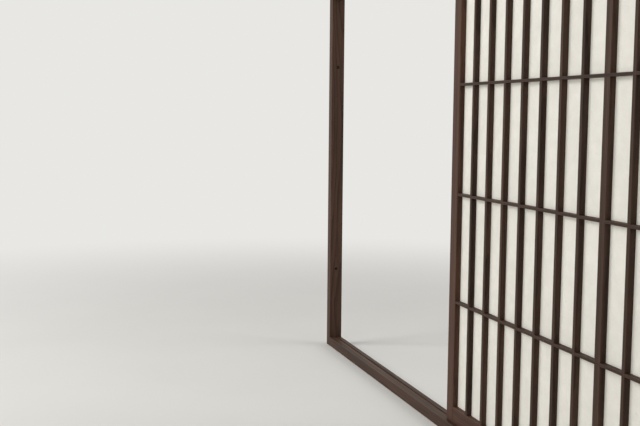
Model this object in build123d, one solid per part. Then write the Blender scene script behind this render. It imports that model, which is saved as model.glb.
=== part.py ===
from build123d import *
import os

# Sliding lattice screen papered on its wall side, with the frame that carries it, in millimetres.
# +X runs right along the track as seen from the room, +Y points to the wall, +Z points up.
# The origin is the middle of the frame's underside.

# Lattice
thin_bar_face = 9.0
middle_bar_face = 18.0
level_bar_face = 6.0
bar_depth = 12.0
bar_setback = 1.0
bar_arris = 0.5
thin_bars_per_side = 7
column_gap = 65.5
level_bars = 3
row_gap = 244.0

# Panel frame
stile_face = 34.0
stile_depth = 20.0
rail_setback = 0.5
bottom_rail_height = 36.5
top_rail_height = 43.0
panel_arris = 1.0
tongue_depth = 12.0
paper_rebate_width = 8.0

# Joints inside the panel
rail_tenon_length = 24.0
rail_tenon_depth = 6.0
rail_tenon_shoulder = 6.0
rail_tenon_setback = 4.0
bar_tenon_length = 10.0
bar_tenon_depth = 6.0
bar_tenon_cheek = 1.5
level_tenon_cheek = 1.0
glue_space = 1.0

# Paper
paper_thickness = 0.2
paper_margin = 0.5
paper_fold = 0.4

# Track, head and jambs
track_depth = 40.0
sill_thickness = 27.0
sill_groove_depth = 2.0
head_thickness = 36.0
jamb_width = 30.0
frame_arris = 1.0
slip_width = 6.0
slip_thickness = 2.5
frame_tenon_length = 12.0
frame_tenon_depth = 24.0
frame_tenon_height = 14.0
frame_tenon_edge = 6.0

# Running fit of the panel in its grooves
side_clearance = 0.2
seat_clearance = 0.1
sill_shoulder_gap = 1.0
lift_gap = 3.0
top_engagement = 8.0
head_groove_relief = 2.0

# Where the panel stands, measured from the left jamb, and how many panel widths the track holds
rest_gap = 907.0
panels_per_track = 2

# Screws
screw_radius = 2.0
screw_head_radius = 4.0
screw_head_depth = 3.0
screw_length = 60.0
screw_tip_length = 6.0
screw_fit = 0.05
fixing_hole_radius = 2.5
fixing_sink_radius = 5.0
fixing_sink_depth = 4.0
fixing_inset = 250.0

# Widths worked out from the lattice
bar_faces = [thin_bar_face] * thin_bars_per_side
bar_faces = bar_faces + [middle_bar_face] + bar_faces
panel_width = 2 * stile_face + sum(bar_faces) + column_gap * (len(bar_faces) + 1)
track_length = panels_per_track * panel_width
track_left = -track_length / 2
track_right = track_length / 2
panel_left = track_left + rest_gap
panel_right = panel_left + panel_width
lattice_left = panel_left + stile_face
lattice_right = panel_right - stile_face

# Heights
sill_top = sill_thickness
tongue_bottom = sill_top - sill_groove_depth + seat_clearance
bottom_shoulder = sill_top + sill_shoulder_gap
bottom_rail_top = bottom_shoulder + bottom_rail_height
level_pitch = row_gap + level_bar_face
first_level = bottom_rail_top + row_gap + level_bar_face / 2
levels = [first_level + n * level_pitch for n in range(level_bars)]
top_rail_underside = levels[-1] + level_bar_face / 2 + row_gap
top_shoulder = top_rail_underside + top_rail_height
head_underside = top_shoulder + lift_gap
tongue_top = head_underside + top_engagement
frame_height = head_underside + head_thickness
head_groove_depth = top_engagement + lift_gap + head_groove_relief

# Depths
stile_front = -stile_depth / 2
stile_back = stile_depth / 2
rail_front = stile_front + rail_setback
rail_back = stile_back - rail_setback
bar_front = stile_front + bar_setback
paper_plane = bar_front + bar_depth
lap_plane = bar_front + bar_depth / 2
bar_tenon_range = (lap_plane - bar_tenon_depth / 2, lap_plane + bar_tenon_depth / 2)
tongue_front = -tongue_depth / 2
tongue_back = tongue_depth / 2
rail_tenon_range = (stile_front + rail_tenon_setback, stile_front + rail_tenon_setback + rail_tenon_depth)
groove_width = tongue_depth + 2 * side_clearance

# Paper pocket, cut into the back of the stiles and rails
pocket_left = lattice_left - paper_rebate_width
pocket_right = lattice_right + paper_rebate_width
pocket_bottom = bottom_rail_top - paper_rebate_width
pocket_top = top_rail_underside + paper_rebate_width

# Tenons of the two rails, as lowest and highest point
bottom_tenon = (bottom_shoulder + rail_tenon_shoulder, pocket_bottom - rail_tenon_shoulder / 2)
top_tenon = (pocket_top + rail_tenon_shoulder / 2, top_shoulder - rail_tenon_shoulder / 2)

# Tenons of the sill and the head
sill_tenon = (frame_tenon_edge, frame_tenon_edge + frame_tenon_height)
head_tenon = (
    frame_height - frame_tenon_edge - frame_tenon_height,
    frame_height - frame_tenon_edge,
)


def span(low, high):
    """Middle and length of a stretch from low to high."""
    return (low + high) / 2, high - low


def ordered(a, b):
    """Two ends of a stretch, the lower one first."""
    return min(a, b), max(a, b)


def block(x_range, y_range, z_range):
    """Straight-sided solid between three ranges, for tenons, mortises and notches."""
    (x, length), (y, depth), (z, height) = span(*x_range), span(*y_range), span(*z_range)
    return Pos(x, y, z) * Box(length, depth, height)


def yz_rectangle(y_range, z_range):
    """Rectangle of a section that lies across the X axis."""
    (y, depth), (z, height) = span(*y_range), span(*z_range)
    return Pos(y, z) * Rectangle(depth, height)


def along_x(section, x_range):
    """Length of timber with a section drawn as depth and height."""
    x, length = span(*x_range)
    return Pos(x, 0, 0) * extrude(Plane.YZ * section, length / 2, both=True)


def upright(section, z_range):
    """Upright length of timber with a section drawn in plan."""
    z, height = span(*z_range)
    return Pos(0, 0, z) * extrude(section, height / 2, both=True)


def eased(section, arris):
    """Section with its corners planed off."""
    return chamfer(section.vertices(), arris)


def mirrored(solid, middle):
    """Copy of a solid on the other side of an upright plane across X."""
    return mirror(solid, Plane.YZ.offset(middle))


def frame_screw(side, z):
    """Countersunk screw driven through a jamb into the end of the sill or the head."""
    shank_end = screw_length - screw_tip_length
    outline = Polyline(
        (0, 0),
        (screw_head_radius, 0),
        (screw_radius, screw_head_depth),
        (screw_radius, shank_end),
        (0, screw_length),
        close=True,
    )
    screw = revolve(Plane.XZ * make_face(outline), Axis.Z)
    return frame_end(side, z) * screw


def screw_hole(side, z):
    """Room for one frame screw, cut through the jamb and on into the end grain."""
    head_radius = screw_head_radius + screw_fit
    radius = screw_radius + screw_fit
    outline = Polyline(
        (0, 0),
        (head_radius, 0),
        (radius, screw_head_depth),
        (radius, screw_length - screw_tip_length + screw_fit),
        (0, screw_length + glue_space),
        close=True,
    )
    hole = revolve(Plane.XZ * make_face(outline), Axis.Z)
    return frame_end(side, z) * hole


def frame_end(side, z):
    """Place on the outer face of a jamb, looking inwards; side is -1 at the left and 1 at the right."""
    x = side * (track_length / 2 + jamb_width)
    return Plane(origin=(x, 0, z), x_dir=(0, 1, 0), z_dir=(-side, 0, 0)).location


def screw_places():
    """Side and height of every frame screw: one at each corner, in the middle of its tenon."""
    heights = (sum(sill_tenon) / 2, sum(head_tenon) / 2)
    return [(side, z) for side in (-1, 1) for z in heights]


def fixing_hole(side, z):
    """Countersunk hole through a jamb, for the screw that holds the frame in its opening."""
    inner = Plane(origin=(side * track_length / 2, 0, z), z_dir=(-side, 0, 0)).location
    outline = Polyline(
        (0, 0),
        (fixing_sink_radius, 0),
        (fixing_hole_radius, -fixing_sink_depth),
        (fixing_hole_radius, -jamb_width),
        (0, -jamb_width),
        close=True,
    )
    return inner * revolve(Plane.XZ * make_face(outline), Axis.Z)


def frame_member(section, tenon):
    """Sill or head between the jambs, with a stub tenon at each end and its screw holes."""
    body = along_x(section, (track_left, track_right))
    reach = (track_left - frame_tenon_length, track_right + frame_tenon_length)
    cheek = frame_tenon_depth / 2
    tenons = block(reach, (-cheek, cheek), tenon)
    body = body + tenons
    for side, z in screw_places():
        if tenon[0] < z < tenon[1]:
            body = body - screw_hole(side, z)
    return body


def sill():
    section = eased(yz_rectangle((-track_depth / 2, track_depth / 2), (0, sill_top)), frame_arris)
    groove_floor = sill_top - sill_groove_depth
    groove = yz_rectangle((-groove_width / 2, groove_width / 2), (groove_floor, sill_top))
    slip_seat = yz_rectangle(
        (-slip_width / 2, slip_width / 2), (groove_floor - slip_thickness, groove_floor)
    )
    return frame_member(section - groove - slip_seat, sill_tenon)


def sill_glide_strip():
    """Hardwood slip let in flush with the floor of the sill groove."""
    floor = sill_top - sill_groove_depth
    section = yz_rectangle((-slip_width / 2, slip_width / 2), (floor - slip_thickness, floor))
    return along_x(section, (track_left, track_right))


def head():
    section = eased(
        yz_rectangle((-track_depth / 2, track_depth / 2), (head_underside, frame_height)), frame_arris
    )
    groove = yz_rectangle(
        (-groove_width / 2, groove_width / 2), (head_underside, head_underside + head_groove_depth)
    )
    return frame_member(section - groove, head_tenon)


def jamb(side):
    """Upright at one end of the frame, mortised for the sill and the head."""
    section = eased(Rectangle(jamb_width, track_depth), frame_arris)
    middle = side * (track_length / 2 + jamb_width / 2)
    body = Pos(middle, 0, 0) * upright(section, (0, frame_height))
    cheek = frame_tenon_depth / 2
    mouth = side * track_length / 2
    end = side * (track_length / 2 + frame_tenon_length + glue_space)
    for tenon in (sill_tenon, head_tenon):
        body = body - block(ordered(mouth, end), (-cheek, cheek), tenon)
    for screw_side, z in screw_places():
        if screw_side == side:
            body = body - screw_hole(side, z)
    for z in (fixing_inset, frame_height - fixing_inset):
        body = body - fixing_hole(side, z)
    return body


def tongued_section(shoulder, tip, opening_edge):
    """Section of a rail: tongue at the shoulder, paper rebate along the edge that faces the lattice."""
    section = yz_rectangle((rail_front, rail_back), ordered(shoulder, opening_edge))
    way = 1 if opening_edge > shoulder else -1
    front_corner = max(section.vertices(), key=lambda v: way * v.Y - v.X)
    section = chamfer(front_corner, panel_arris)
    tongue = yz_rectangle((tongue_front, tongue_back), ordered(shoulder, tip))
    ledge = opening_edge - way * paper_rebate_width
    rebate = yz_rectangle((paper_plane, rail_back), ordered(ledge, opening_edge))
    return section + tongue - rebate


def rail(section, tenon, edge):
    """Rail between the stiles, tenoned at both ends and mortised along one edge for the upright bars."""
    reach = (lattice_left - rail_tenon_length, lattice_right + rail_tenon_length)
    body = along_x(section, (lattice_left, lattice_right))
    body = body + block(reach, rail_tenon_range, tenon)
    for x, face in upright_places():
        body = body - upright_tenon(x, face, edge, bar_tenon_length + glue_space)
    return body


def bottom_rail():
    section = tongued_section(bottom_shoulder, tongue_bottom, bottom_rail_top)
    return rail(section, bottom_tenon, (bottom_rail_top, -1))


def top_rail():
    section = tongued_section(top_shoulder, tongue_top, top_rail_underside)
    return rail(section, top_tenon, (top_rail_underside, 1))


def left_stile():
    """Stile with its tongues, paper rebate, blind mortises for the rails and for the level bars."""
    section = eased(Rectangle(stile_face, stile_depth), panel_arris)
    body = Pos(panel_left + stile_face / 2, 0, 0) * upright(section, (tongue_bottom, tongue_top))
    face = (panel_left, lattice_left)
    for z_range in ((tongue_bottom, bottom_shoulder), (top_shoulder, tongue_top)):
        body = body - block(face, (stile_front, tongue_front), z_range)
        body = body - block(face, (tongue_back, stile_back), z_range)
    pocket = (pocket_left, lattice_left)
    body = body - block(pocket, (paper_plane, stile_back), (pocket_bottom, pocket_top))
    mortise = (lattice_left - rail_tenon_length - glue_space, lattice_left)
    for tenon in (bottom_tenon, top_tenon):
        body = body - block(mortise, rail_tenon_range, tenon)
    for z in levels:
        body = body - level_tenon(lattice_left, -1, z, bar_tenon_length + glue_space)
    return body


def right_stile():
    return mirrored(left_stile(), (panel_left + panel_right) / 2)


def upright_places():
    """Left edge and face width of each upright bar, from left to right."""
    places = []
    x = lattice_left
    for face in bar_faces:
        x += column_gap
        places.append((x, face))
        x += face
    return places


def upright_tenon(x, face, edge, length):
    """Stub tenon of an upright bar past a rail's edge; edge is its height and the way into the rail."""
    z, way = edge
    x_range = (x + bar_tenon_cheek, x + face - bar_tenon_cheek)
    return block(x_range, bar_tenon_range, ordered(z, z + way * length))


def level_tenon(x, way, z, length):
    """Stub tenon of a level bar past a stile's edge."""
    half = level_bar_face / 2 - level_tenon_cheek
    return block(ordered(x, x + way * length), bar_tenon_range, (z - half, z + half))


def passes_in_front(column, level):
    """Whether the upright bar keeps its front half at a crossing; it changes from one to the next."""
    return (column + level) % 2 == 0


def upright_bar(column):
    """Upright bar of the lattice, notched for every level bar."""
    x, face = upright_places()[column]
    section = Pos(x + face / 2, (bar_front + paper_plane) / 2) * Rectangle(face, bar_depth)
    front = section.vertices().sort_by(Axis.Y)[:2]
    body = upright(chamfer(front, bar_arris), (bottom_rail_top, top_rail_underside))
    body = body + upright_tenon(x, face, (bottom_rail_top, -1), bar_tenon_length)
    body = body + upright_tenon(x, face, (top_rail_underside, 1), bar_tenon_length)
    for level, z in enumerate(levels):
        half = (lap_plane, paper_plane) if passes_in_front(column, level) else (bar_front, lap_plane)
        notch = (z - level_bar_face / 2, z + level_bar_face / 2)
        body = body - block((x, x + face), half, notch)
    return body


def level_bar(level):
    """Level bar of the lattice, notched the other way round at every upright bar."""
    z = levels[level]
    z_range = (z - level_bar_face / 2, z + level_bar_face / 2)
    section = yz_rectangle((bar_front, paper_plane), z_range)
    front = section.vertices().sort_by(Axis.X)[:2]
    body = along_x(chamfer(front, bar_arris), (lattice_left, lattice_right))
    body = body + level_tenon(lattice_left, -1, z, bar_tenon_length)
    body = body + level_tenon(lattice_right, 1, z, bar_tenon_length)
    for column, (x, face) in enumerate(upright_places()):
        half = (bar_front, lap_plane) if passes_in_front(column, level) else (lap_plane, paper_plane)
        body = body - block((x, x + face), half, z_range)
    return body


def paper_strip(course):
    """One course of paper; each laps over the one below, on the back of a level bar."""
    edges = [pocket_bottom + paper_margin] + levels + [pocket_top - paper_margin]
    lap = level_bar_face / 2
    last = course == len(levels)
    top = edges[course + 1] + (0 if last else lap)
    bottom = edges[course] + (lap if course else 0)
    back = paper_plane + paper_thickness
    section = yz_rectangle((paper_plane, back), (bottom, top))
    if course:
        over = yz_rectangle((back, back + paper_thickness), (bottom - 2 * lap, bottom + paper_fold))
        section = section + over
    return along_x(section, (pocket_left + paper_margin, pocket_right - paper_margin))


def build():
    """Every piece by name."""
    pieces = {
        "sill": sill(),
        "sill_glide_strip": sill_glide_strip(),
        "head": head(),
        "left_jamb": jamb(-1),
        "right_jamb": jamb(1),
        "frame_screws": Compound(children=[frame_screw(*place) for place in screw_places()]),
        "left_stile": left_stile(),
        "right_stile": right_stile(),
        "bottom_rail": bottom_rail(),
        "top_rail": top_rail(),
    }
    for column in range(len(bar_faces)):
        name = "middle_bar" if column == thin_bars_per_side else f"vertical_bar_{column + 1:02d}"
        pieces[name] = upright_bar(column)
    for level in range(level_bars):
        pieces[f"horizontal_bar_{level + 1}"] = level_bar(level)
    for course in range(level_bars + 1):
        pieces[f"paper_strip_{course + 1}"] = paper_strip(course)
    return pieces


os.makedirs("parts", exist_ok=True)
for name, piece in build().items():
    export_step(piece, f"parts/{name}.step")
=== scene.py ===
import math
import random

import bmesh
import bpy
from bpy.props import FloatProperty, FloatVectorProperty, IntProperty, PointerProperty
from mathutils import Matrix, Vector


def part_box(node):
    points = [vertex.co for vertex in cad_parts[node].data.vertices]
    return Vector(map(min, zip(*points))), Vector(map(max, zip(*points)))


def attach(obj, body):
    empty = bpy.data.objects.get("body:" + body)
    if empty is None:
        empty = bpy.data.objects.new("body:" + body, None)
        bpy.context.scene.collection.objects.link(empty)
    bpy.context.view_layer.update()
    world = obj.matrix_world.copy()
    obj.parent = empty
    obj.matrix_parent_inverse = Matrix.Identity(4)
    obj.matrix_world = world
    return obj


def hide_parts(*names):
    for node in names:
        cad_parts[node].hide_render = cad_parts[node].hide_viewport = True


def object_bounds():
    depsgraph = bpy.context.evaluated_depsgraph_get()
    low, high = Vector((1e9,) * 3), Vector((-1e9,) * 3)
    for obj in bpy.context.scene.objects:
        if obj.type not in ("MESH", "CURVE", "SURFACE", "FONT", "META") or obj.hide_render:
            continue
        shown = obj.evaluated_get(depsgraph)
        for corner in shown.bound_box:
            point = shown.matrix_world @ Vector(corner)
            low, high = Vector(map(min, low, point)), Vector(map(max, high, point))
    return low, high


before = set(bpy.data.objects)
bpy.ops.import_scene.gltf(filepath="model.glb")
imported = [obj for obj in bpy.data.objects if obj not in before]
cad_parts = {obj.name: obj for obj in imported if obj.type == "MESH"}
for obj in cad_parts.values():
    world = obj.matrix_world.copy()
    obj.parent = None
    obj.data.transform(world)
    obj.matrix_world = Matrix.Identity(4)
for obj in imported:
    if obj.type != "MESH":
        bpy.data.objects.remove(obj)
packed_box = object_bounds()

bl_info = {
    "name": "Papered Sliding Screen",
    "version": (1, 0, 0),
    "blender": (4, 5, 0),
    "location": "3D View > Sidebar > Screen",
    "description": "Finishes the timber, paper and screws of a sliding lattice screen and lights it",
    "category": "Object",
}

MM = 0.001

# The screen stands along X and Z, and its depth lies along Y
DEPTH_AXIS = 1

# Sockets of the colour mix node: its two colours and its result
MIX_FIRST, MIX_SECOND, MIX_RESULT = 6, 7, 2

# Scale of each layer of the timber's figure along and across the grain, per metre
DRIFT = (1.3, 6)
RIPPLE = (9, 70)
FIBRE = (30, 1300)
PORE = (120, 2400)
STREAK = (2.2, 190)
TONE = (2.4, 22)

# Scale at which the growth rings change in width, outward and along the grain, per metre
RING_CHANGE = (75, 0.4)

# Scale at which they change in darkness, from year to year and along the grain
RING_DARKNESS = (3.7, 0.8)

# How far the pith of the log lies from the middle of a piece, in metres
PITH_ASIDE = (0.10, 0.22)
PITH_DEPTH = 0.06

# Directions of the paper's coarse and fine fibres, in radians
COARSE_FIBRES = (0.4, 1.9, 2.6)
FINE_FIBRES = (1.1, 2.9)

# Where each soft lamp stands, what it faces and how wide it is, in metres
LAMPS = {
    "key": ((-1.4, -3.6, 2.9), (0, 0, 0.6), 2.2),
    "fill": ((3.4, -2.8, 1.9), (0.3, 0, 0.6), 2.4),
    "back": ((0.4, 3.4, 2.2), (0.2, 0, 0.6), 2.4),
}

# How far the floor reaches to each side, in metres
FLOOR_REACH = 30.0

FRAME_TIMBER = ("sill", "head", "left_jamb", "right_jamb")
PANEL_TIMBER = ("left_stile", "right_stile", "bottom_rail", "top_rail")
UPRIGHT_BARS = sorted(
    (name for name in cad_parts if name.startswith(("vertical_bar", "middle_bar"))),
    key=lambda name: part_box(name)[0].x,
)
LEVEL_BARS = sorted(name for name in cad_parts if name.startswith("horizontal_bar"))
PAPER_COURSES = sorted(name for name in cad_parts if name.startswith("paper_strip"))


def linear(red, green, blue):
    """Linear colour of a shade written as it shows on screen, from 0 to 255."""
    shown = [channel / 255 for channel in (red, green, blue)]
    return tuple(c / 12.92 if c <= 0.04045 else ((c + 0.055) / 1.055) ** 2.4 for c in shown)


def scaled(colour, share):
    """A colour made darker or lighter by a share."""
    return tuple(min(channel * share, 1) for channel in colour)


class Value:
    """A number that varies over a surface; arithmetic on it adds Math nodes to its material."""

    def __init__(self, graph, socket):
        self.graph = graph
        self.socket = socket

    def __add__(self, other):
        return self.graph.math("ADD", self, other)

    def __radd__(self, other):
        return self.graph.math("ADD", other, self)

    def __sub__(self, other):
        return self.graph.math("SUBTRACT", self, other)

    def __rsub__(self, other):
        return self.graph.math("SUBTRACT", other, self)

    def __mul__(self, other):
        return self.graph.math("MULTIPLY", self, other)

    def __rmul__(self, other):
        return self.graph.math("MULTIPLY", other, self)

    def __truediv__(self, other):
        return self.graph.math("DIVIDE", self, other)

    def __rtruediv__(self, other):
        return self.graph.math("DIVIDE", other, self)

    def __pow__(self, other):
        return self.graph.math("POWER", self, other)

    def __rpow__(self, other):
        return self.graph.math("POWER", other, self)

    def __abs__(self):
        return self.graph.math("ABSOLUTE", self)


class Graph:
    """The node tree of one material or world."""

    def __init__(self, owner):
        owner.use_nodes = True
        self.tree = owner.node_tree
        self.tree.nodes.clear()

    def node(self, kind, settings=None, sockets=None, out=0):
        """Adds a node, sets it up, feeds its sockets with numbers or links, and returns one output."""
        made = self.tree.nodes.new(kind)
        for name, setting in (settings or {}).items():
            setattr(made, name, setting)
        for key, fed in (sockets or {}).items():
            if isinstance(fed, Value):
                self.tree.links.new(fed.socket, made.inputs[key])
            else:
                made.inputs[key].default_value = fed
        return Value(self, made.outputs[out]) if made.outputs else made

    def math(self, operation, first, second=0.0):
        return self.node("ShaderNodeMath", {"operation": operation}, {0: first, 1: second})

    def vector(self, x, y, z):
        return self.node("ShaderNodeCombineXYZ", sockets={"X": x, "Y": y, "Z": z})

    def parts(self, vector):
        """The three numbers of a vector."""
        return [
            self.node("ShaderNodeSeparateXYZ", sockets={"Vector": vector}, out=axis)
            for axis in ("X", "Y", "Z")
        ]

    def place(self):
        """Where a point lies on the object at rest, in metres."""
        return self.parts(self.node("ShaderNodeTexCoord", out="Object"))

    def noise(self, vector, scale=1.0, detail=2.0, roughness=0.5):
        sockets = {"Vector": vector, "Scale": scale, "Detail": detail, "Roughness": roughness}
        return self.node("ShaderNodeTexNoise", sockets=sockets)

    def rise(self, value, low, high):
        """0 below low, 1 above high, with a smooth rise between them."""
        sockets = {"Value": value, "From Min": low, "From Max": high}
        return self.node("ShaderNodeMapRange", {"interpolation_type": "SMOOTHSTEP"}, sockets)

    def blend(self, factor, first, second):
        """First colour at factor 0, second at factor 1."""
        fed = [c if isinstance(c, Value) else (*c, 1.0) for c in (first, second)]
        sockets = {"Factor": factor, MIX_FIRST: fed[0], MIX_SECOND: fed[1]}
        return self.node("ShaderNodeMix", {"data_type": "RGBA"}, sockets, out=MIX_RESULT)

    def bump(self, height, distance, strength):
        sockets = {"Height": height, "Distance": distance, "Strength": strength}
        return self.node("ShaderNodeBump", sockets=sockets)

    def surface(self, shader):
        self.node("ShaderNodeOutputMaterial", sockets={"Surface": shader})

    def shows_backdrop(self):
        """1 on rays from the camera, from gloss or through a clear thing; 0 on the rest."""
        rays = [
            self.node("ShaderNodeLightPath", out=ray)
            for ray in ("Is Camera Ray", "Is Glossy Ray", "Is Transmission Ray")
        ]
        return self.math("MINIMUM", rays[0] + rays[1] + rays[2], 1.0)


def new_material(name):
    """An empty material and the graph that fills it."""
    material = bpy.data.materials.new(name)
    return material, Graph(material)


def finish_with(thing, material):
    """Gives every face of an object one material."""
    thing.data.materials.clear()
    thing.data.materials.append(material)


class Grain:
    """Place of a point in one piece of timber: along its grain, across its face, into its depth."""

    def __init__(self, graph, node, dice):
        low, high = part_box(node)
        self.graph = graph
        self.middle, self.half = (low + high) / 2, (high - low) / 2
        self.along = max(range(3), key=lambda axis: self.half[axis])
        self.across = 2 - self.along
        place = graph.place()
        self.length = place[self.along] + dice.uniform(2, 9)
        self.width, self.depth = place[self.across], place[DEPTH_AXIS]

    def noise(self, scale, detail=2, roughness=0.5):
        """Noise drawn out along the grain; scale is how fine it is along and across."""
        along, across = scale
        place = self.graph.vector(self.length * along, self.width * across, self.depth * across)
        return self.graph.noise(place, detail=detail, roughness=roughness)

    def distance_from_pith(self, dice):
        """Distance from the pith, the middle of the log, which lies to one side of the piece."""
        pith_width = self.middle[self.across] + dice.choice((-1, 1)) * dice.uniform(*PITH_ASIDE)
        pith_depth = self.middle[DEPTH_AXIS] + dice.uniform(-PITH_DEPTH, PITH_DEPTH)
        return ((self.width - pith_width) ** 2 + (self.depth - pith_depth) ** 2) ** 0.5

    def late_wood(self, from_pith, wood):
        """Dark late wood of the growth rings, in which some years are darker than others."""
        graph = self.graph
        outward, along = RING_CHANGE
        change = graph.noise(graph.vector(from_pith * outward, self.length * along, 0), detail=2)
        waves = 9 * self.noise(DRIFT) + 0.7 * self.noise(RIPPLE)
        rings = from_pith / wood.ring_width + waves + 6 * change
        through_year = graph.math("FRACT", rings)
        year = graph.math("FLOOR", rings)
        each_year, along = RING_DARKNESS
        darkness = graph.noise(graph.vector(year * each_year, self.length * along, 0), detail=1)
        darkens = graph.rise(through_year, 0.35, 0.9)
        ends = graph.rise(through_year, 0.93, 1.0)
        return darkens * (1 - ends) * (0.25 + 1.3 * darkness)

    def sheen_and_wear_edges(self, tone, wood):
        """1 along the long edges of the piece, where hands and planing thin the stain; the lighter
        colour given there is also a painted sheen.
        """
        to_side = self.half[self.across] - abs(self.width - self.middle[self.across])
        to_face = self.half[DEPTH_AXIS] - abs(self.depth - self.middle[DEPTH_AXIS])
        to_arris = self.graph.math("MAXIMUM", to_side, to_face)
        near = 1 - self.graph.rise(to_arris, 0.3 * wood.arris_width, wood.arris_width)
        return near * (0.35 + tone)

    def end_grain(self):
        """1 on the faces that cut across the grain."""
        normal = self.graph.parts(self.graph.node("ShaderNodeNewGeometry", out="Normal"))
        return self.graph.rise(abs(normal[self.along]), 0.7, 0.95)


def timber(node, stain, wood):
    """Planed, stained softwood whose grain runs along the piece, cut from a log of its own."""
    dice = random.Random(node)
    material, graph = new_material(f"{node}_timber")
    grain = Grain(graph, node, dice)
    late = grain.late_wood(grain.distance_from_pith(dice), wood)
    fibre = grain.noise(FIBRE, detail=4, roughness=0.62)
    pore = graph.rise(grain.noise(PORE, detail=1), 0.60, 0.74)
    streak = grain.noise(STREAK, detail=4, roughness=0.6)
    tone = grain.noise(TONE, detail=3)
    # Mask of the long edges, which are painted lighter: partly rubbed-off stain, partly painted sheen
    edge_sheen_and_wear = grain.sheen_and_wear_edges(tone, wood)
    end_grain = grain.end_grain()

    shade = dice.uniform(0.90, 1.10)
    figure = 0.6 * (fibre - 0.5) + 1.1 * (streak - 0.5) + 0.8 * (tone - 0.5)
    light = 0.62 + figure - 0.38 * late - 0.2 * pore
    dark, pale = scaled(stain, 0.38 * shade), scaled(stain, 1.75 * shade)
    rubbed_and_sheen, soaked = scaled(stain, 2.4), scaled(stain, 0.40)
    colour = graph.blend(light, dark, pale)
    # Lightens the edges: partly stain rubbed off, partly a painted sheen
    colour = graph.blend(wood.arris_wear_and_sheen * edge_sheen_and_wear, colour, rubbed_and_sheen)
    colour = graph.blend(0.55 * end_grain, colour, soaked)
    roughness = wood.roughness + 0.22 * (fibre - 0.5) + 0.05 * late - 0.07 * edge_sheen_and_wear + 0.2 * end_grain
    height = 0.55 * fibre - 0.14 * late - 0.45 * pore
    sockets = {
        "Base Color": colour,
        "Roughness": roughness,
        "Normal": graph.bump(height, wood.grain_relief, 0.7),
        "Specular IOR Level": 0.18,
    }
    graph.surface(graph.node("ShaderNodeBsdfPrincipled", sockets=sockets))
    return material


def stain_pieces(nodes, stain, wood):
    """Stains pieces of timber in one colour, each with figure of its own."""
    for node in nodes:
        finish_with(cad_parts[node], timber(node, stain, wood))


def hairs(graph, x, z, angle, spacing, half_width, length):
    """Curly paper fibres that lie roughly in one direction; 1 on a fibre and 0 beside it."""
    along = math.cos(angle) * x + math.sin(angle) * z
    aside = math.cos(angle) * z - math.sin(angle) * x
    curl = graph.noise(graph.vector(along, angle, aside), scale=0.6 / length, detail=2)
    lane = aside / spacing + 5 * curl
    off_line = abs(graph.math("FRACT", lane) - 0.5)
    line = 1 - graph.rise(off_line, 0.25 * half_width / spacing, half_width / spacing)
    lane_number = graph.math("FLOOR", lane)
    run = graph.noise(graph.vector(along / length, 7.3 * lane_number, angle), detail=0)
    return line * graph.rise(run, 0.60, 0.66)


def screen_paper(paper):
    """Thin handmade paper: pale, cloudy, full of long fibres, and lit through from behind."""
    material, graph = new_material("screen_paper")
    x, _, z = graph.place()
    flat = graph.vector(x, 0, z)
    cloud = graph.noise(flat, scale=38, detail=5, roughness=0.6)
    patch = graph.noise(flat, scale=5, detail=2)
    size = paper.fibre_spacing, paper.fibre_width, paper.fibre_length
    fine_size = 0.6 * paper.fibre_spacing, 0.6 * paper.fibre_width, 0.7 * paper.fibre_length
    coarse = [hairs(graph, x, z, angle, *size) for angle in COARSE_FIBRES]
    fine = [hairs(graph, x, z, angle, *fine_size) for angle in FINE_FIBRES]
    fibre = graph.math("MINIMUM", sum(coarse) + 0.5 * sum(fine), 1.0)
    light = 0.5 + 1.5 * (cloud - 0.5) + 0.8 * (patch - 0.5)
    dull, bright = scaled(paper.colour, 0.86), scaled(paper.colour, 1.06)
    colour = graph.blend(light, dull, bright)
    colour = graph.blend(0.75 * fibre, colour, scaled(paper.colour, 0.72))
    normal = graph.bump(0.4 * cloud + 0.6 * fibre, paper.fibre_relief, 0.5)
    sockets = {"Base Color": colour, "Roughness": 0.88, "Normal": normal, "Specular IOR Level": 0.25}
    front = graph.node("ShaderNodeBsdfPrincipled", sockets=sockets)
    tint = (*scaled(paper.colour, 0.96), 1)
    through = graph.node("ShaderNodeBsdfTranslucent", sockets={"Color": tint, "Normal": normal})
    share = paper.translucency - 0.40 * (cloud - 0.5) - 0.16 * fibre
    graph.surface(graph.node("ShaderNodeMixShader", sockets={0: share, 1: front, 2: through}))
    return material


def gaps_between(ranges):
    """Stretches that lie between the ends of neighbouring ranges."""
    return [(before[1], after[0]) for before, after in zip(ranges, ranges[1:])]


def cell_lines(cells, start, end, step):
    """Mesh lines over a length: even steps inside each cell, and one line at each of its edges."""
    lines = {start, end}
    for low, high in cells:
        if high > start and low < end:
            count = max(1, round((high - low) / step))
            lines.update(low + (high - low) * k / count for k in range(count + 1))
    return sorted(line for line in lines if start <= line <= end)


def panel_cells():
    """The open cells of the lattice, as stretches along X and along Z."""
    stiles = [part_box("left_stile"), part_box("right_stile")]
    uprights = [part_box(name) for name in UPRIGHT_BARS]
    across = [(low.x, high.x) for low, high in (stiles[0], *uprights, stiles[1])]
    rails = [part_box("bottom_rail"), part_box("top_rail")]
    levels = [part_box(name) for name in LEVEL_BARS]
    upward = [(low.z, high.z) for low, high in (rails[0], *levels, rails[1])]
    return gaps_between(across), gaps_between(upward)


def cell_of(cells, at):
    """Number of the cell that holds a place and the share of it before the place; None on a bar."""
    for number, (low, high) in enumerate(cells):
        if low < at < high:
            return number, (at - low) / (high - low)
    return None


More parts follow.
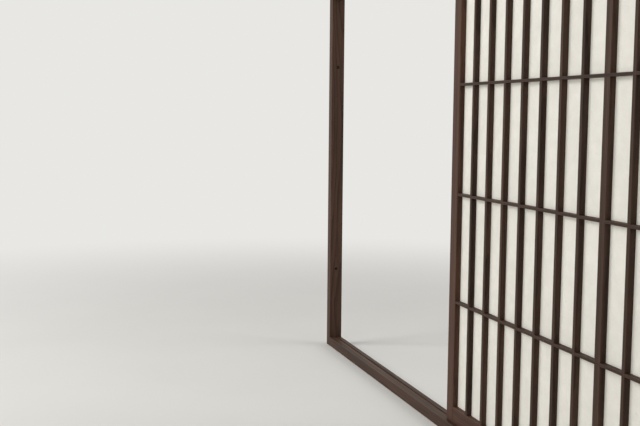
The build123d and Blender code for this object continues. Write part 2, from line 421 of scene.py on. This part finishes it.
def slack_at(cells, x, z, paper):
    """How far the paper stands off its plane: taut over the bars, a little loose inside a cell."""
    columns, rows = cells
    in_cell = cell_of(columns, x), cell_of(rows, z)
    if None in in_cell:
        return 0.0
    (column, across), (row, upward) = in_cell
    cell_number = column * 101 + row
    dice = random.Random(cell_number)
    belly = dice.uniform(0.25, 1.0) * dice.choice((-1, 1))
    crease_turn = dice.uniform(0.5, 1.1) * dice.choice((-1, 1))
    crease_start = dice.uniform(0, math.tau)
    hold = math.sin(math.pi * across) * (1 - (2 * upward - 1) ** 6)
    travel = math.cos(crease_turn) * x + math.sin(crease_turn) * z
    crease = math.sin(math.tau * travel / paper.crease_length + crease_start)
    return hold * (belly * paper.slack + crease * paper.crease)


def sheet_mesh(name, lines, front_at, thickness):
    """Closed sheet over a grid of X and Z lines; front_at gives the depth of its room side."""
    xs, zs = lines
    mesh = bmesh.new()
    sides = []
    for extra in (0.0, thickness):
        sides.append([[mesh.verts.new((x, front_at(x, z) + extra, z)) for x in xs] for z in zs])
    front, back = sides
    columns, rows = len(xs), len(zs)
    for j in range(rows - 1):
        for i in range(columns - 1):
            mesh.faces.new((front[j][i], front[j][i + 1], front[j + 1][i + 1], front[j + 1][i]))
            mesh.faces.new((back[j][i], back[j + 1][i], back[j + 1][i + 1], back[j][i + 1]))
    rim = [(0, i) for i in range(columns)]
    rim += [(j, columns - 1) for j in range(1, rows)]
    rim += [(rows - 1, i) for i in range(columns - 2, -1, -1)]
    rim += [(j, 0) for j in range(rows - 2, 0, -1)]
    for (j, i), (m, n) in zip(rim, rim[1:] + rim[:1]):
        mesh.faces.new((front[j][i], back[j][i], back[m][n], front[m][n]))
    return object_from(mesh, name, smooth=True)


def paper_course(number, cells, paper):
    """One course of paper, which laps over the course below it and steps down to the bars above."""
    columns, rows = cells
    first_low, first_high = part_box(PAPER_COURSES[0])
    plane, thickness = first_low.y + paper.paste, first_high.y - first_low.y
    low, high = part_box(PAPER_COURSES[number])
    across = cell_lines(columns, low.x, high.x, paper.step)
    upward = cell_lines(rows, low.z, high.z, paper.step)
    fold_top = low.z
    if number:
        fold_top = rows[number][0] + paper.fold
        upward = sorted((*upward, fold_top))

    def front_at(x, z):
        lapped = thickness if z < fold_top else 0.0
        return plane + lapped + slack_at(cells, x, z, paper)

    return sheet_mesh(f"paper_course_{number + 1}", (across, upward), front_at, thickness)


def object_from(mesh, name, smooth):
    """Turns a bmesh into an object of the scene."""
    data = bpy.data.meshes.new(name)
    mesh.normal_update()
    mesh.to_mesh(data)
    mesh.free()
    if smooth:
        data.shade_smooth()
    else:
        data.shade_flat()
    thing = bpy.data.objects.new(name, data)
    bpy.context.scene.collection.objects.link(thing)
    return thing


def screw_profile(screw):
    """Distance from the head, radius of the core and radius of the thread's crest, ring by ring."""
    eased_depth, eased_radius = 0.15 * MM, 0.96 * screw.head_radius
    smooth = [(0.0, eased_radius), (eased_depth, screw.head_radius)]
    smooth += [(screw.head_depth, screw.radius), (screw.smooth_length, screw.radius)]
    rings = [(at, radius, radius) for at, radius in smooth]
    core, crest, point = 0.72 * screw.radius, 0.98 * screw.radius, 0.05 * MM
    bare_tip, rings_per_turn = 0.08, 7
    threaded_length = screw.length - screw.smooth_length
    count = int(threaded_length / screw.pitch * rings_per_turn)
    for step in range(1, count + 1):
        at = screw.smooth_length + threaded_length * step / count
        taper = min(1.0, (screw.length - at) / screw.tip)
        radius = max(core * taper, point)
        rings.append((at, radius, crest * taper if taper > bare_tip else radius))
    return rings


def screw_solid(screw):
    """One countersunk screw along +Z from its head, with a helical thread almost to its tip."""
    around = 28
    mesh = bmesh.new()
    rings = []
    for at, radius, crest in screw_profile(screw):
        ring = []
        for step in range(around):
            turn = step / around
            ridge = abs(((at / screw.pitch - turn) % 1.0) * 2 - 1) ** 3
            reach = radius + ridge * (crest - radius)
            angle = math.tau * turn
            ring.append(mesh.verts.new((reach * math.cos(angle), reach * math.sin(angle), at)))
        rings.append(ring)
    for first, second in zip(rings, rings[1:]):
        for step in range(around):
            after = (step + 1) % around
            mesh.faces.new((first[step], first[after], second[after], second[step]))
    mesh.faces.new(list(reversed(rings[0])))
    mesh.faces.new(rings[-1])
    bmesh.ops.recalc_face_normals(mesh, faces=mesh.faces)
    return object_from(mesh, "screw_blank", smooth=False)


def recess_cutter(screw, turned):
    """Tapered wedge that cuts one pair of arms of the cross recess."""
    mesh = bmesh.new()
    long_top, long_bottom = 0.58 * screw.head_radius, 0.22 * screw.head_radius
    half_top, half_bottom = 0.11 * screw.head_radius, 0.07 * screw.head_radius
    above_head, recess_depth = 0.2 * MM, 2.0 * MM
    ends = ((long_top, half_top, -above_head), (long_bottom, half_bottom, recess_depth))
    corners = []
    for long, half, at in ends:
        for x, y in ((-long, -half), (long, -half), (long, half), (-long, half)):
            corners.append(mesh.verts.new((y, x, at) if turned else (x, y, at)))
    top, bottom = corners[:4], corners[4:]
    mesh.faces.new(top)
    mesh.faces.new(bottom)
    for first, second in ((0, 1), (1, 2), (2, 3), (3, 0)):
        mesh.faces.new((top[first], top[second], bottom[second], bottom[first]))
    bmesh.ops.recalc_face_normals(mesh, faces=mesh.faces)
    return object_from(mesh, "recess_cutter", smooth=False)


def cut_screw(screw):
    """Mesh of one finished screw."""
    blank = screw_solid(screw)
    cutters = [recess_cutter(screw, turned) for turned in (False, True)]
    for cutter in cutters:
        cut = blank.modifiers.new("recess", "BOOLEAN")
        cut.operation = "DIFFERENCE"
        cut.object = cutter
    bpy.context.view_layer.update()
    graph = bpy.context.evaluated_depsgraph_get()
    finished = bpy.data.meshes.new_from_object(blank.evaluated_get(graph))
    for helper in (blank, *cutters):
        bpy.data.objects.remove(helper)
    return finished


def screw_metal(screw):
    """Plated steel, a little cloudy, with the fine scratches of driving."""
    material, graph = new_material("screw_steel")
    place = graph.node("ShaderNodeTexCoord", out="Object")
    cloud = graph.noise(place, scale=900, detail=3)
    scratches = graph.noise(place, scale=5200, detail=1)
    colour = graph.blend(cloud, scaled(screw.colour, 0.78), screw.colour)
    roughness = 0.30 + 0.22 * (cloud - 0.5) + 0.10 * (scratches - 0.5)
    sockets = {
        "Base Color": colour,
        "Metallic": 1.0,
        "Roughness": roughness,
        "Normal": graph.bump(scratches, 0.02 * MM, 0.5),
    }
    graph.surface(graph.node("ShaderNodeBsdfPrincipled", sockets=sockets))
    return material


class ScreenWood(bpy.types.PropertyGroup):
    """Stains and figure of the timber."""

    frame_stain: FloatVectorProperty(
        name="Frame stain", description="Colour of the sill, head and jambs",
        subtype="COLOR", size=3, min=0, max=1, default=linear(64, 45, 34),
    )
    panel_stain: FloatVectorProperty(
        name="Panel stain", description="Colour of the stiles and rails",
        subtype="COLOR", size=3, min=0, max=1, default=linear(67, 45, 34),
    )
    lattice_stain: FloatVectorProperty(
        name="Lattice stain", description="Colour of the upright and level bars",
        subtype="COLOR", size=3, min=0, max=1, default=linear(55, 39, 30),
    )
    glide_stain: FloatVectorProperty(
        name="Glide strip", description="Colour of the hardwood slip in the sill",
        subtype="COLOR", size=3, min=0, max=1, default=linear(76, 55, 41),
    )
    ring_width: FloatProperty(
        name="Ring width", description="Distance between growth rings",
        subtype="DISTANCE", default=2.9 * MM, min=0.5 * MM, max=10 * MM,
    )
    grain_relief: FloatProperty(
        name="Grain relief", description="Depth of the grain that planing and stain leave",
        subtype="DISTANCE", default=0.16 * MM, min=0, max=1 * MM,
    )
    # Arris width and arris wear set the lighter edges, which stand for rubbed-off stain and a painted
    # sheen
    arris_width: FloatProperty(
        name="Arris width", description="How far the rubbed edge reaches on to a face",
        subtype="DISTANCE", default=1.9 * MM, min=0.1 * MM, max=10 * MM,
    )
    arris_wear_and_sheen: FloatProperty(
        name="Arris wear", description="How much stain is rubbed off along the edges",
        subtype="FACTOR", default=0.30, min=0, max=1,
    )
    roughness: FloatProperty(
        name="Roughness", description="Dullness of the finish",
        subtype="FACTOR", default=0.54, min=0, max=1,
    )


class ScreenPaper(bpy.types.PropertyGroup):
    """The paper behind the lattice."""

    colour: FloatVectorProperty(
        name="Paper", description="Colour of the paper in daylight",
        subtype="COLOR", size=3, min=0, max=1, default=linear(245, 243, 237),
    )
    translucency: FloatProperty(
        name="Translucency", description="Share of light that each face of the sheet lets through",
        subtype="FACTOR", default=0.42, min=0, max=1,
    )
    slack: FloatProperty(
        name="Slack", description="Most that the paper bellies inside a cell",
        subtype="DISTANCE", default=0.45 * MM, min=0, max=3 * MM,
    )
    crease: FloatProperty(
        name="Crease", description="Height of the soft creases inside a cell",
        subtype="DISTANCE", default=0.07 * MM, min=0, max=1 * MM,
    )
    crease_length: FloatProperty(
        name="Crease spacing", description="Distance from one soft crease to the next",
        subtype="DISTANCE", default=34 * MM, min=5 * MM, max=200 * MM,
    )
    fibre_length: FloatProperty(
        name="Fibre length", description="Length of the long fibres in the sheet",
        subtype="DISTANCE", default=11 * MM, min=1 * MM, max=60 * MM,
    )
    fibre_width: FloatProperty(
        name="Fibre width", description="Half the width of a long fibre",
        subtype="DISTANCE", default=0.16 * MM, min=0.02 * MM, max=1 * MM,
    )
    fibre_spacing: FloatProperty(
        name="Fibre spacing", description="Distance from one long fibre to the next",
        subtype="DISTANCE", default=4.2 * MM, min=0.5 * MM, max=50 * MM,
    )
    fibre_relief: FloatProperty(
        name="Fibre relief", description="How far the fibres stand out of the sheet",
        subtype="DISTANCE", default=0.06 * MM, min=0, max=0.5 * MM,
    )
    step: FloatProperty(
        name="Mesh step", description="Size of the paper's mesh faces",
        subtype="DISTANCE", default=5 * MM, min=2 * MM, max=50 * MM,
    )
    fold: FloatProperty(
        name="Fold", description="Height in which a course steps down from its lap to the bars",
        subtype="DISTANCE", default=0.4 * MM, min=0.1 * MM, max=3 * MM,
    )
    paste: FloatProperty(
        name="Paste", description="Thickness of the paste between bars and paper",
        subtype="DISTANCE", default=0.02 * MM, min=0, max=0.1 * MM,
    )


class ScreenScrew(bpy.types.PropertyGroup):
    """The screws at the frame's corners."""

    colour: FloatVectorProperty(
        name="Plating", description="Colour of the plated steel",
        subtype="COLOR", size=3, min=0, max=1, default=linear(214, 205, 176),
    )
    head_radius: FloatProperty(
        name="Head radius", description="Radius of the countersunk head",
        subtype="DISTANCE", default=4 * MM, min=1 * MM, max=10 * MM,
    )
    head_depth: FloatProperty(
        name="Head depth", description="Height of the head's cone",
        subtype="DISTANCE", default=3 * MM, min=0.5 * MM, max=8 * MM,
    )
    radius: FloatProperty(
        name="Radius", description="Radius over the thread",
        subtype="DISTANCE", default=2 * MM, min=0.5 * MM, max=5 * MM,
    )
    length: FloatProperty(
        name="Length", description="Length from the head's face to the tip",
        subtype="DISTANCE", default=60 * MM, min=10 * MM, max=150 * MM,
    )
    smooth_length: FloatProperty(
        name="Shank", description="Length down to where the thread begins",
        subtype="DISTANCE", default=22 * MM, min=4 * MM, max=100 * MM,
    )
    tip: FloatProperty(
        name="Tip", description="Length of the pointed end",
        subtype="DISTANCE", default=6 * MM, min=1 * MM, max=20 * MM,
    )
    pitch: FloatProperty(
        name="Pitch", description="Distance from one turn of the thread to the next",
        subtype="DISTANCE", default=2.2 * MM, min=0.5 * MM, max=5 * MM,
    )


class ScreenStage(bpy.types.PropertyGroup):
    """Floor, light and camera."""

    floor_colour: FloatVectorProperty(
        name="Floor", description="Colour of the floor",
        subtype="COLOR", size=3, min=0, max=1, default=linear(222, 220, 215),
    )
    backdrop_colour: FloatVectorProperty(
        name="Backdrop", description="Colour of the space behind the screen",
        subtype="COLOR", size=3, min=0, max=1, default=linear(232, 231, 228),
    )
    floor_near: FloatProperty(
        name="Floor near", description="Distance from the frame at which the floor begins to pale",
        subtype="DISTANCE", default=0.5, min=0,
    )
    floor_far: FloatProperty(
        name="Floor far", description="Distance at which the floor is as pale as the backdrop",
        subtype="DISTANCE", default=3.0, min=0.1,
    )
    room_light: FloatProperty(
        name="Room light", description="Even light from all sides, where 1 shows white as white",
        default=0.42, min=0, max=2,
    )
    key_light: FloatProperty(
        name="Key light", description="Soft light from the front at the left, on the same scale",
        default=0.56, min=0, max=2,
    )
    fill_light: FloatProperty(
        name="Fill light", description="Soft light from the front at the right, on the same scale",
        default=0.16, min=0, max=2,
    )
    back_light: FloatProperty(
        name="Back light", description="Soft light on the wall side of the paper, on the same scale",
        default=0.35, min=0, max=2,
    )
    camera_place: FloatVectorProperty(
        name="Camera", description="Where the photograph's camera stood",
        subtype="XYZ", unit="LENGTH", size=3, default=(1.787, -0.968, 0.738),
    )
    camera_turn: FloatProperty(
        name="Turn", description="Angle between the view and the track",
        subtype="ANGLE", default=math.radians(16.67),
    )
    camera_dip: FloatProperty(
        name="Dip", description="Angle by which the camera looks down",
        subtype="ANGLE", default=math.radians(5.516),
    )
    camera_roll: FloatProperty(
        name="Roll", description="Tilt of the picture",
        subtype="ANGLE", default=math.radians(0.499),
    )
    focal_pixels: FloatProperty(
        name="Focal length in pixels", description="Focal length measured in the photograph's pixels",
        default=1005.0, min=100.0,
    )
    picture_width: IntProperty(
        name="Picture width", description="Width of the photograph in pixels", default=640, min=1,
    )


class PAPERED_SCREEN_OT_finish_frame(bpy.types.Operator):
    """Stains the sill, the head and the two jambs"""

    bl_idname = "papered_screen.finish_frame"
    bl_label = "Finish Frame"

    def execute(self, context):
        wood = context.scene.screen_wood
        stain_pieces(FRAME_TIMBER, wood.frame_stain, wood)
        return {"FINISHED"}


class PAPERED_SCREEN_OT_finish_glide_strip(bpy.types.Operator):
    """Stains the hardwood slip that the panel runs on"""

    bl_idname = "papered_screen.finish_glide_strip"
    bl_label = "Finish Glide Strip"

    def execute(self, context):
        wood = context.scene.screen_wood
        stain_pieces(["sill_glide_strip"], wood.glide_stain, wood)
        return {"FINISHED"}


class PAPERED_SCREEN_OT_finish_panel(bpy.types.Operator):
    """Stains the stiles and rails of the sliding panel"""

    bl_idname = "papered_screen.finish_panel"
    bl_label = "Finish Panel Frame"

    def execute(self, context):
        wood = context.scene.screen_wood
        stain_pieces(PANEL_TIMBER, wood.panel_stain, wood)
        return {"FINISHED"}


class PAPERED_SCREEN_OT_finish_lattice(bpy.types.Operator):
    """Stains the upright and level bars of the lattice"""

    bl_idname = "papered_screen.finish_lattice"
    bl_label = "Finish Lattice"

    def execute(self, context):
        wood = context.scene.screen_wood
        stain_pieces((*UPRIGHT_BARS, *LEVEL_BARS), wood.lattice_stain, wood)
        return {"FINISHED"}


class PAPERED_SCREEN_OT_paste_paper(bpy.types.Operator):
    """Pastes the four courses of paper on the back of the lattice"""

    bl_idname = "papered_screen.paste_paper"
    bl_label = "Paste Paper"

    def execute(self, context):
        paper = context.scene.screen_paper
        material = screen_paper(paper)
        cells = panel_cells()
        for number, course in enumerate(PAPER_COURSES):
            piece = paper_course(number, cells, paper)
            finish_with(piece, material)
            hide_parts(course)
            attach(piece, "panel")
        return {"FINISHED"}


class PAPERED_SCREEN_OT_drive_screws(bpy.types.Operator):
    """Drives the four frame screws, flush with the outer faces of the jambs"""

    bl_idname = "papered_screen.drive_screws"
    bl_label = "Drive Screws"

    def execute(self, context):
        screw = context.scene.screen_screw
        low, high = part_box("frame_screws")
        one = cut_screw(screw)
        mesh = bmesh.new()
        for x, into in ((low.x, 1), (high.x, -1)):
            for z in (low.z + screw.head_radius, high.z - screw.head_radius):
                before = len(mesh.verts)
                mesh.from_mesh(one)
                mesh.verts.ensure_lookup_table()
                driven = Matrix.Translation((x, 0, z)) @ Matrix.Rotation(into * math.pi / 2, 4, "Y")
                bmesh.ops.transform(mesh, matrix=driven, verts=mesh.verts[before:])
        piece = object_from(mesh, "corner_screws", smooth=False)
        bpy.data.meshes.remove(one)
        finish_with(piece, screw_metal(screw))
        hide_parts("frame_screws")
        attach(piece, "frame")
        return {"FINISHED"}


def add_lamp(name, place, target, size, share):
    """Square lamp that lights what it faces as strongly as the given share of full light."""
    data = bpy.data.lights.new(name, "AREA")
    data.size = size
    away = Vector(target) - Vector(place)
    data.energy = share * (math.pi * away.length) ** 2
    lamp = bpy.data.objects.new(name, data)
    lamp.location = place
    lamp.rotation_mode = "QUATERNION"
    lamp.rotation_quaternion = away.to_track_quat("-Z", "Y")
    bpy.context.scene.collection.objects.link(lamp)


def add_floor(stage):
    """Wide plain floor that keeps the shadow near the frame and pales into the backdrop further out."""
    mesh = bmesh.new()
    corners = ((-1, -1), (1, -1), (1, 1), (-1, 1))
    mesh.faces.new([mesh.verts.new((FLOOR_REACH * x, FLOOR_REACH * y, 0)) for x, y in corners])
    floor = object_from(mesh, "floor", smooth=False)
    material, graph = new_material("floor")
    x, y, _ = graph.place()
    mottle = graph.noise(graph.vector(x, y, 0), scale=3, detail=4)
    colour = graph.blend(mottle, scaled(stage.floor_colour, 0.97), scaled(stage.floor_colour, 1.03))
    near = graph.node("ShaderNodeBsdfPrincipled", sockets={"Base Color": colour, "Roughness": 0.75})
    backdrop = (*stage.backdrop_colour, 1)
    far = graph.node("ShaderNodeEmission", sockets={"Color": backdrop, "Strength": 1.0})
    beside = graph.math("MAXIMUM", abs(x) - packed_box[1].x, 0.0)
    away = (beside ** 2 + y ** 2) ** 0.5
    share = graph.rise(away, stage.floor_near, stage.floor_far) * graph.shows_backdrop()
    graph.surface(graph.node("ShaderNodeMixShader", sockets={0: share, 1: near, 2: far}))
    finish_with(floor, material)


def light_world(stage):
    """Even light for the object, and a pale backdrop for the camera and for what mirrors it."""
    world = bpy.data.worlds.new("studio")
    bpy.context.scene.world = world
    graph = Graph(world)
    white, pale = (1, 1, 1, 1), (*stage.backdrop_colour, 1)
    room = graph.node("ShaderNodeBackground", sockets={"Color": white, "Strength": stage.room_light})
    backdrop = graph.node("ShaderNodeBackground", sockets={"Color": pale, "Strength": 1.0})
    mixed = graph.node("ShaderNodeMixShader", sockets={0: graph.shows_backdrop(), 1: room, 2: backdrop})
    graph.node("ShaderNodeOutputWorld", sockets={"Surface": mixed})


def aim_camera(stage):
    """Camera where the photograph was taken from, looking along the track."""
    turn, dip, roll = stage.camera_turn, stage.camera_dip, stage.camera_roll
    level_forward = Vector((-math.cos(turn), math.sin(turn), 0))
    level_right = Vector((math.sin(turn), math.cos(turn), 0))
    forward = math.cos(dip) * level_forward - math.sin(dip) * Vector((0, 0, 1))
    level_up = level_right.cross(forward)
    right = math.cos(roll) * level_right + math.sin(roll) * level_up
    up = math.cos(roll) * level_up - math.sin(roll) * level_right
    data = bpy.data.cameras.new("camera")
    data.lens = data.sensor_width * stage.focal_pixels / stage.picture_width
    data.clip_start, data.clip_end = 0.02, 100
    camera = bpy.data.objects.new("camera", data)
    turned = Matrix((right, up, -forward)).transposed().to_4x4()
    camera.matrix_world = Matrix.Translation(stage.camera_place) @ turned
    bpy.context.scene.collection.objects.link(camera)
    bpy.context.scene.camera = camera


class PAPERED_SCREEN_OT_set_stage(bpy.types.Operator):
    """Lays the floor, lights the screen and places the camera"""

    bl_idname = "papered_screen.set_stage"
    bl_label = "Set Stage"

    def execute(self, context):
        stage = context.scene.screen_stage
        add_floor(stage)
        light_world(stage)
        for name, (place, target, size) in LAMPS.items():
            add_lamp(f"{name}_lamp", place, target, size, getattr(stage, f"{name}_light"))
        aim_camera(stage)
        context.scene.view_settings.view_transform = "Standard"
        return {"FINISHED"}


class PAPERED_SCREEN_PT_tools(bpy.types.Panel):
    """Settings and steps of the screen"""

    bl_idname = "PAPERED_SCREEN_PT_tools"
    bl_label = "Papered Screen"
    bl_space_type = "VIEW_3D"
    bl_region_type = "UI"
    bl_category = "Screen"

    def draw(self, context):
        scene = context.scene
        for group in (scene.screen_wood, scene.screen_paper, scene.screen_screw, scene.screen_stage):
            box = self.layout.box()
            box.label(text=type(group).__doc__)
            for name in type(group).__annotations__:
                box.prop(group, name)
        for operator in OPERATORS:
            self.layout.operator(operator.bl_idname)


GROUPS = {
    "screen_wood": ScreenWood,
    "screen_paper": ScreenPaper,
    "screen_screw": ScreenScrew,
    "screen_stage": ScreenStage,
}
OPERATORS = (
    PAPERED_SCREEN_OT_set_stage,
    PAPERED_SCREEN_OT_finish_frame,
    PAPERED_SCREEN_OT_finish_glide_strip,
    PAPERED_SCREEN_OT_finish_panel,
    PAPERED_SCREEN_OT_finish_lattice,
    PAPERED_SCREEN_OT_paste_paper,
    PAPERED_SCREEN_OT_drive_screws,
)


def register():
    for name, group in GROUPS.items():
        bpy.utils.register_class(group)
        setattr(bpy.types.Scene, name, PointerProperty(type=group))
    for tool in (*OPERATORS, PAPERED_SCREEN_PT_tools):
        bpy.utils.register_class(tool)


def unregister():
    for tool in (PAPERED_SCREEN_PT_tools, *reversed(OPERATORS)):
        bpy.utils.unregister_class(tool)
    for name, group in reversed(GROUPS.items()):
        delattr(bpy.types.Scene, name)
        bpy.utils.unregister_class(group)


def main():
    register()
    bpy.ops.papered_screen.set_stage()
    bpy.ops.papered_screen.finish_frame()
    bpy.ops.papered_screen.finish_glide_strip()
    bpy.ops.papered_screen.finish_panel()
    bpy.ops.papered_screen.finish_lattice()
    bpy.ops.papered_screen.paste_paper()
    bpy.ops.papered_screen.drive_screws()


if __name__ == "__main__":
    main()
